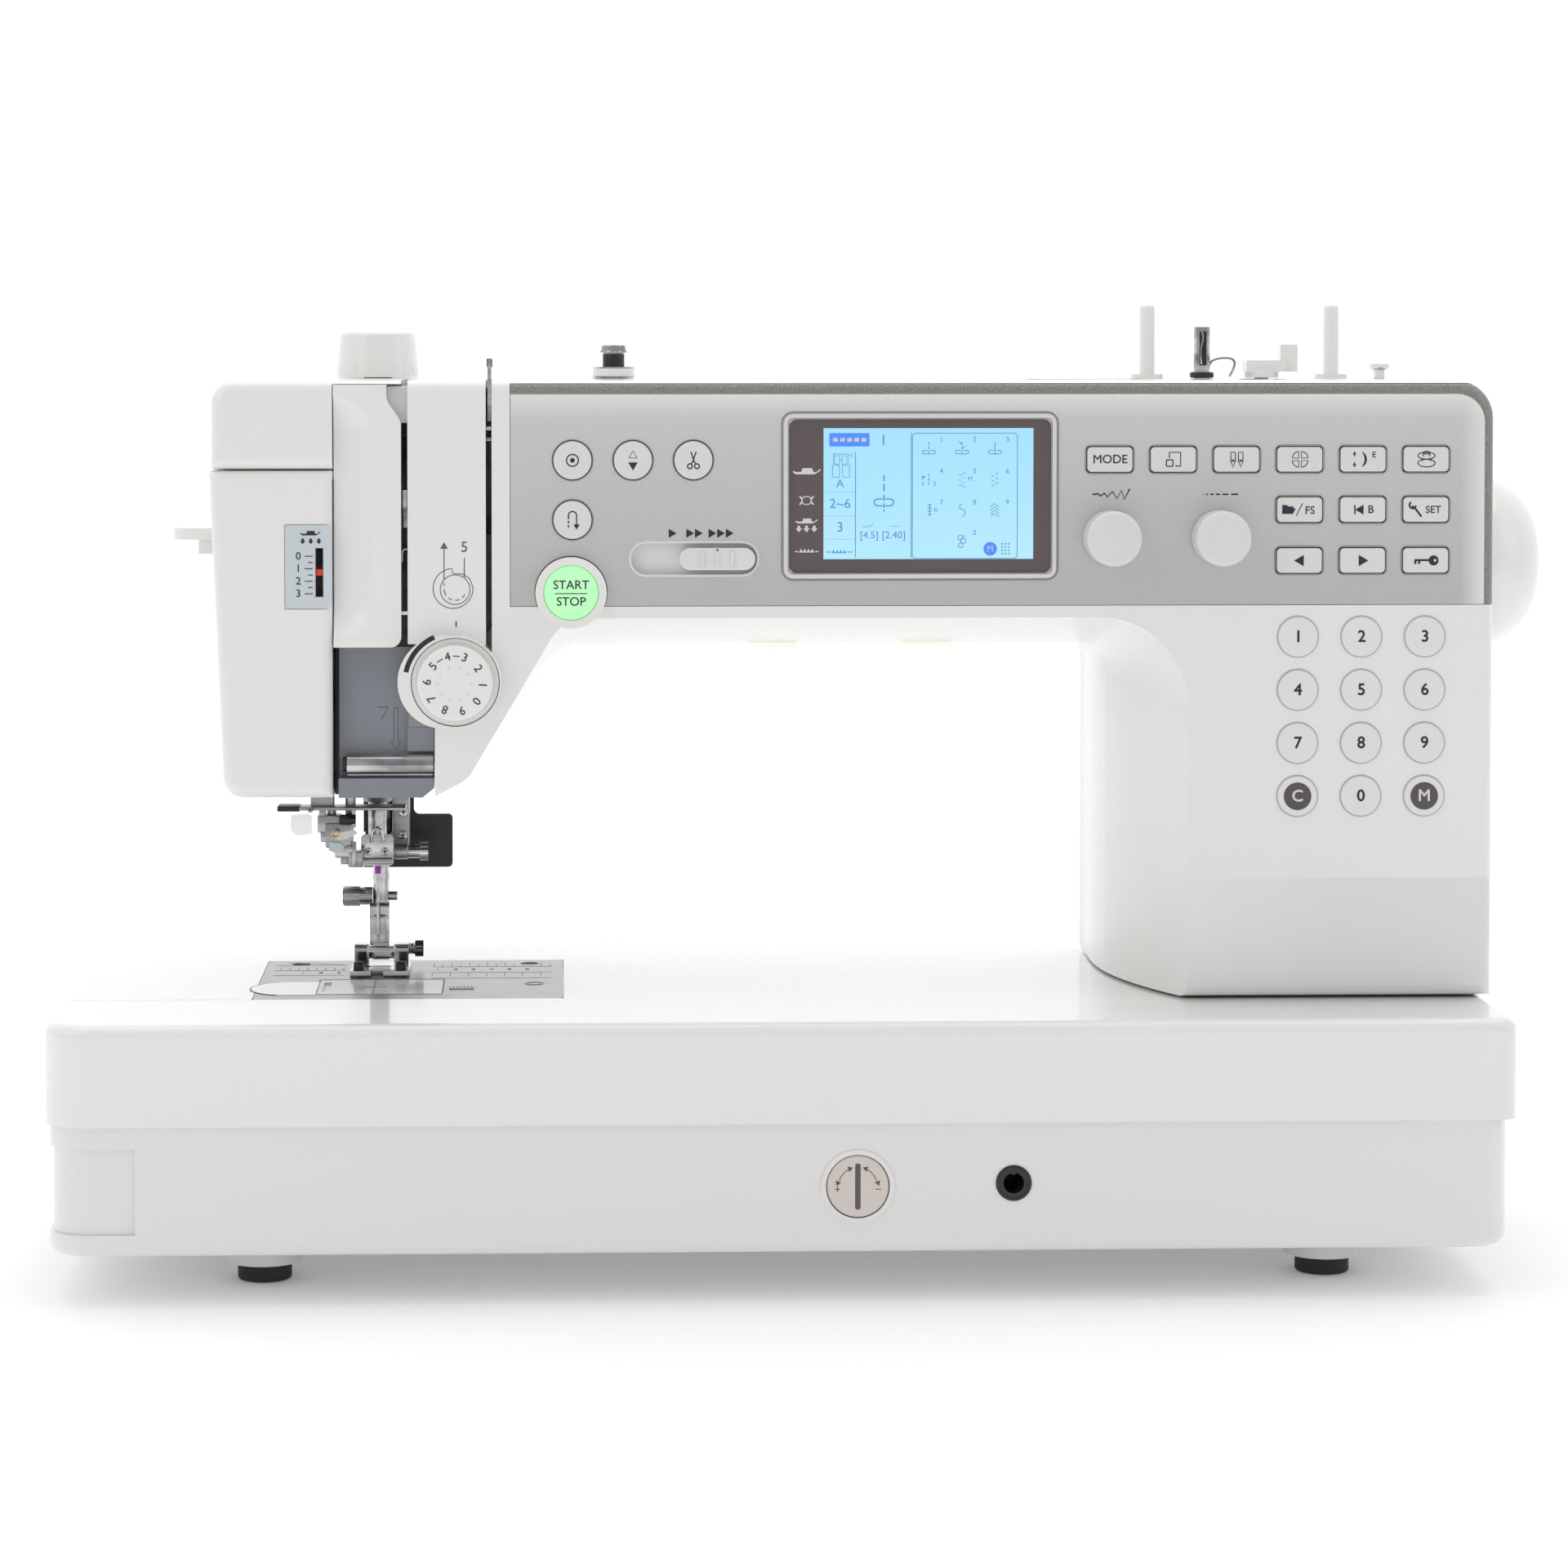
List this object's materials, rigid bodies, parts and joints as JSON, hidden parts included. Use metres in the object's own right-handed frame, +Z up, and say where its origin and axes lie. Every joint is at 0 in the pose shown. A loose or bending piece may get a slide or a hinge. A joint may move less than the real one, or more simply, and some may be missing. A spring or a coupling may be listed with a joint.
{
  "type": "sewing machine",
  "caption": "Flat-bed electronic sewing machine with a long arm, control panel with screen and keys, needle and presser mechanism, handwheel and bobbin hook.",
  "frame": {"origin": "centre of the whole machine in plan, on the surface its feet stand on", "axes": "+X along the bed towards the handwheel, +Y from the user to the back, +Z up"},
  "size_m": [0.5166, 0.185, 0.3277],
  "materials": {
    "shell": "gloss white moulded shell",
    "shell_lower": "gloss white moulded tray",
    "panel_silver": "fine sparkling silver lacquer",
    "white_keys": "white key caps",
    "keypad_rubber": "satin white number keys",
    "green_button": "lit green button",
    "screen": "lit liquid crystal window",
    "grey_panel": "blue-grey lacquer",
    "steel": "brushed steel",
    "chrome": "polished chrome",
    "clear_plastic": "clear plastic",
    "cast_frame": "die-cast aluminium",
    "motor_steel": "zinc-plated steel",
    "belt_rubber": "toothed belt rubber",
    "black_plastic": "black plastic",
    "foot_rubber": "black rubber",
    "dial_beige": "warm grey plastic",
    "pointer_red": "red plastic"
  },
  "bodies": {
    "machine": {"base_tray": "shell_lower", "bed_cover": "shell", "rubber_feet": "foot_rubber", "front_cover": "shell", "rear_cover": "shell", "control_panel": "panel_silver", "display_window": "screen", "face_cover": "shell", "thread_cover": "shell", "thread_panel": "grey_panel", "needle_plate": "steel", "bobbin_cover": "clear_plastic", "inner_frame": "cast_frame", "drive_motor": "motor_steel", "drive_belts": "belt_rubber", "sockets": "black_plastic", "spool_pins": "shell", "thread_guides": "chrome"},
    "upper_drive": {"handwheel": "shell", "drive_shaft": "steel"},
    "motor_rotor": {"motor_pulley": "steel"},
    "lower_drive": {"lower_shaft": "steel"},
    "hook": {"rotary_hook": "steel"},
    "bobbin": {"bobbin": "clear_plastic"},
    "needle_bar": {"needle_bar": "chrome", "needle": "chrome"},
    "take_up": {"take_up_lever": "chrome"},
    "feed": {"feed_dogs": "steel"},
    "presser": {"presser_bar": "chrome"},
    "foot": {"presser_foot": "chrome"},
    "threader": {"needle_threader": "steel"},
    "lifter": {"lifter_lever": "black_plastic"},
    "pressure_dial": {"pressure_dial": "shell"},
    "pointer": {"pressure_pointer": "pointer_red"},
    "tension_dial": {"tension_dial": "shell"},
    "speed": {"speed_slider": "white_keys"},
    "width_knob": {"width_knob": "white_keys"},
    "length_knob": {"length_knob": "white_keys"},
    "balance_dial": {"balance_dial": "dial_beige"},
    "power_switch": {"power_switch": "black_plastic"},
    "winder_spindle": {"winder_spindle": "chrome"},
    "winder_stopper": {"winder_stopper": "shell"},
    "start_button": {"start_button": "green_button"},
    "number_keys": {"number_keys": "keypad_rubber"},
    "lock_button": {"lock_button": "white_keys"},
    "needle_button": {"needle_button": "white_keys"},
    "cutter_button": {"cutter_button": "white_keys"},
    "reverse_button": {"reverse_button": "white_keys"},
    "key_top_1": {"key_top_1": "white_keys"},
    "key_top_2": {"key_top_2": "white_keys"},
    "key_top_3": {"key_top_3": "white_keys"},
    "key_top_4": {"key_top_4": "white_keys"},
    "key_top_5": {"key_top_5": "white_keys"},
    "key_top_6": {"key_top_6": "white_keys"},
    "key_mid_1": {"key_mid_1": "white_keys"},
    "key_low_1": {"key_low_1": "white_keys"},
    "key_mid_2": {"key_mid_2": "white_keys"},
    "key_low_2": {"key_low_2": "white_keys"},
    "key_mid_3": {"key_mid_3": "white_keys"},
    "key_low_3": {"key_low_3": "white_keys"}
  },
  "joints": [
    {"name": "handwheel_turn", "type": "hinge", "parent": "machine", "child": "upper_drive", "pos_m": [0.22725, 0.0295, 0.2369], "axis": [1, 0, 0], "continuous": true},
    {"name": "motor_turn", "type": "hinge", "parent": "machine", "child": "motor_rotor", "pos_m": [0.18625, 0.0195, 0.15], "axis": [1, 0, 0], "continuous": true},
    {"name": "lower_shaft_turn", "type": "hinge", "parent": "machine", "child": "lower_drive", "pos_m": [0.17125, 0.0195, 0.049], "axis": [1, 0, 0], "continuous": true},
    {"name": "hook_turn", "type": "hinge", "parent": "machine", "child": "hook", "pos_m": [-0.15295, -0.0075, 0.068], "axis": [0, 0, 1], "continuous": true},
    {"name": "bobbin_turn", "type": "hinge", "parent": "hook", "child": "bobbin", "pos_m": [-0.15295, -0.0075, 0.071], "axis": [0, 0, 1], "continuous": true},
    {"name": "needle_bar_stroke", "type": "slide", "parent": "machine", "child": "needle_bar", "axis": [0, 0, 1], "range_m": [-0.027, 0.007]},
    {"name": "take_up_swing", "type": "hinge", "parent": "machine", "child": "take_up", "pos_m": [-0.14205, -0.0005, 0.262], "axis": [1, 0, 0], "range_deg": [-45, 10]},
    {"name": "feed_drop", "type": "slide", "parent": "machine", "child": "feed", "axis": [0, 0, 1], "range_m": [-0.0035, 0]},
    {"name": "lifter_swing", "type": "hinge", "parent": "machine", "child": "lifter", "pos_m": [-0.14075, 0.0675, 0.19], "axis": [0, 1, 0], "range_deg": [0, 60]},
    {"name": "presser_lift", "type": "slide", "parent": "machine", "child": "presser", "axis": [0, 0, 1], "range_m": [0, 0.0099]},
    {"name": "foot_rock", "type": "hinge", "parent": "presser", "child": "foot", "pos_m": [-0.15195, 0.0285, 0.0985], "axis": [1, 0, 0], "range_deg": [-1, 1]},
    {"name": "threader_drop", "type": "slide", "parent": "machine", "child": "threader", "axis": [0, 0, 1], "range_m": [-0.012, 0], "stiffness_N_per_m": 40, "springref_m": 0.004},
    {"name": "pressure_turn", "type": "hinge", "parent": "machine", "child": "pressure_dial", "pos_m": [-0.15295, 0.0305, 0.302], "axis": [0, 0, 1], "range_deg": [-150, 150]},
    {"name": "pointer_slide", "type": "slide", "parent": "machine", "child": "pointer", "axis": [0, 0, 1], "range_m": [-0.0066, 0.0066]},
    {"name": "tension_turn", "type": "hinge", "parent": "machine", "child": "tension_dial", "pos_m": [-0.12385, -0.0545, 0.2011], "axis": [0, 1, 0], "range_deg": [-150, 150]},
    {"name": "speed_slide", "type": "slide", "parent": "machine", "child": "speed", "axis": [1, 0, 0], "range_m": [-0.015, 0]},
    {"name": "width_turn", "type": "hinge", "parent": "machine", "child": "width_knob", "pos_m": [0.09675, -0.0485, 0.249], "axis": [0, 1, 0], "continuous": true},
    {"name": "length_turn", "type": "hinge", "parent": "machine", "child": "length_knob", "pos_m": [0.13355, -0.0485, 0.249], "axis": [0, 1, 0], "continuous": true},
    {"name": "balance_turn", "type": "hinge", "parent": "machine", "child": "balance_dial", "pos_m": [0.00865, -0.091, 0.0381], "axis": [0, 1, 0], "range_deg": [-45, 45]},
    {"name": "switch_rock", "type": "hinge", "parent": "machine", "child": "power_switch", "pos_m": [0.22025, 0.0165, 0.036], "axis": [0, 1, 0], "range_deg": [-6, 0]},
    {"name": "spindle_shift", "type": "slide", "parent": "machine", "child": "winder_spindle", "axis": [1, 0, 0], "range_m": [0, 0.005]},
    {"name": "stopper_shift", "type": "slide", "parent": "machine", "child": "winder_stopper", "axis": [1, 0, 0], "range_m": [-0.005, 0]},
    {"name": "start_press", "type": "slide", "parent": "machine", "child": "start_button", "axis": [0, 1, 0], "range_m": [0, 0.001], "stiffness_N_per_m": 300},
    {"name": "number_press", "type": "slide", "parent": "machine", "child": "number_keys", "axis": [0, 1, 0], "range_m": [0, 0.001], "stiffness_N_per_m": 900},
    {"name": "lock_press", "type": "slide", "parent": "machine", "child": "lock_button", "axis": [0, 1, 0], "range_m": [0, 0.001], "stiffness_N_per_m": 250},
    {"name": "needle_press", "type": "slide", "parent": "machine", "child": "needle_button", "axis": [0, 1, 0], "range_m": [0, 0.001], "stiffness_N_per_m": 250},
    {"name": "cutter_press", "type": "slide", "parent": "machine", "child": "cutter_button", "axis": [0, 1, 0], "range_m": [0, 0.001], "stiffness_N_per_m": 250},
    {"name": "reverse_press", "type": "slide", "parent": "machine", "child": "reverse_button", "axis": [0, 1, 0], "range_m": [0, 0.001], "stiffness_N_per_m": 250},
    {"name": "key_top_1_press", "type": "slide", "parent": "machine", "child": "key_top_1", "axis": [0, 1, 0], "range_m": [0, 0.001], "stiffness_N_per_m": 250},
    {"name": "key_top_2_press", "type": "slide", "parent": "machine", "child": "key_top_2", "axis": [0, 1, 0], "range_m": [0, 0.001], "stiffness_N_per_m": 250},
    {"name": "key_top_3_press", "type": "slide", "parent": "machine", "child": "key_top_3", "axis": [0, 1, 0], "range_m": [0, 0.001], "stiffness_N_per_m": 250},
    {"name": "key_top_4_press", "type": "slide", "parent": "machine", "child": "key_top_4", "axis": [0, 1, 0], "range_m": [0, 0.001], "stiffness_N_per_m": 250},
    {"name": "key_top_5_press", "type": "slide", "parent": "machine", "child": "key_top_5", "axis": [0, 1, 0], "range_m": [0, 0.001], "stiffness_N_per_m": 250},
    {"name": "key_top_6_press", "type": "slide", "parent": "machine", "child": "key_top_6", "axis": [0, 1, 0], "range_m": [0, 0.001], "stiffness_N_per_m": 250},
    {"name": "key_mid_1_press", "type": "slide", "parent": "machine", "child": "key_mid_1", "axis": [0, 1, 0], "range_m": [0, 0.001], "stiffness_N_per_m": 250},
    {"name": "key_low_1_press", "type": "slide", "parent": "machine", "child": "key_low_1", "axis": [0, 1, 0], "range_m": [0, 0.001], "stiffness_N_per_m": 250},
    {"name": "key_mid_2_press", "type": "slide", "parent": "machine", "child": "key_mid_2", "axis": [0, 1, 0], "range_m": [0, 0.001], "stiffness_N_per_m": 250},
    {"name": "key_low_2_press", "type": "slide", "parent": "machine", "child": "key_low_2", "axis": [0, 1, 0], "range_m": [0, 0.001], "stiffness_N_per_m": 250},
    {"name": "key_mid_3_press", "type": "slide", "parent": "machine", "child": "key_mid_3", "axis": [0, 1, 0], "range_m": [0, 0.001], "stiffness_N_per_m": 250},
    {"name": "key_low_3_press", "type": "slide", "parent": "machine", "child": "key_low_3", "axis": [0, 1, 0], "range_m": [0, 0.001], "stiffness_N_per_m": 250}
  ],
  "couplings": [
    {"joint": "motor_turn", "follows": "handwheel_turn", "ratio": 2.5},
    {"joint": "lower_shaft_turn", "follows": "handwheel_turn", "ratio": 1},
    {"joint": "hook_turn", "follows": "handwheel_turn", "ratio": 2},
    {"joint": "lifter_swing", "follows": "presser_lift", "rad_per_m": 105.2},
    {"joint": "pressure_turn", "follows": "pointer_slide", "rad_per_m": 396.6}
  ]
}
